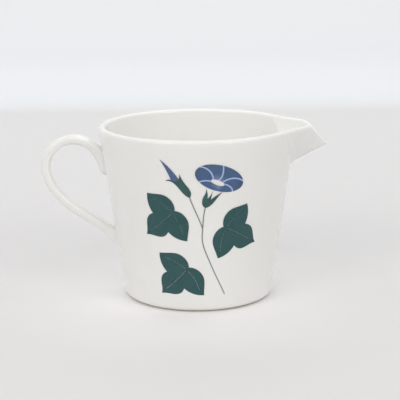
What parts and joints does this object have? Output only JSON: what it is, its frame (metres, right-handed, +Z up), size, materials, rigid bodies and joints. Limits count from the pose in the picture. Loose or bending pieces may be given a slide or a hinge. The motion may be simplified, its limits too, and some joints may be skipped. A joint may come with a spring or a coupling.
{
  "type": "cream jug",
  "caption": "Small tapered porcelain jug with a beak spout, a loop handle and a printed flower sprig, for pouring cream or milk.",
  "frame": {"origin": "centre of the foot ring, on the surface the jug stands on", "axes": "+X towards the spout, +Y away from the printed side, +Z up"},
  "size_m": [0.1185, 0.0816, 0.0715],
  "materials": {
    "porcelain": "clear gloss glaze on warm white porcelain",
    "print_green": "fired print, teal green",
    "print_blue": "fired print, slate blue",
    "print_pale_blue": "fired print, pale blue",
    "print_dark_green": "fired print, dark green",
    "print_violet": "fired print, blue violet",
    "print_stem": "fired print, grey green"
  },
  "bodies": {
    "root": {"jug_body": "porcelain", "pouring_spout": "porcelain", "handle": "porcelain", "leaf_left": "print_green", "leaf_lower": "print_green", "leaf_right": "print_green", "bloom_petals": "print_blue", "bloom_stripes": "print_pale_blue", "bloom_calyx": "print_dark_green", "bud_petal": "print_violet", "bud_calyx": "print_dark_green", "stem": "print_stem"}
  },
  "joints": []
}
